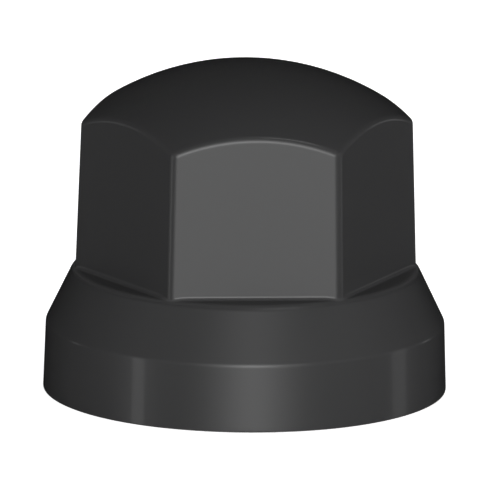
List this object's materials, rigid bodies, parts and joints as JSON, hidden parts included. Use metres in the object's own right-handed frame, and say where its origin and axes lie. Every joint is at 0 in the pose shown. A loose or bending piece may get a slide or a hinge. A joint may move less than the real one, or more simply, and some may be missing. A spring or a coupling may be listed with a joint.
{
  "type": "wheel nut cover cap",
  "caption": "One-piece black plastic cap that pushes over a flanged hexagonal wheel nut: domed hexagonal crown, cone and round skirt, with grip ribs inside.",
  "frame": {"origin": "centre of the open rim, in the plane that the rim stands on", "axes": "+Z along the cap's axis towards the dome; two of the six flats face -Y and +Y, and two corners lie along -X and +X"},
  "size_m": [0.052, 0.052, 0.0428],
  "materials": {
    "black_plastic": "satin black, finely grained as moulded"
  },
  "bodies": {
    "root": {"cap": "black_plastic"}
  },
  "joints": []
}
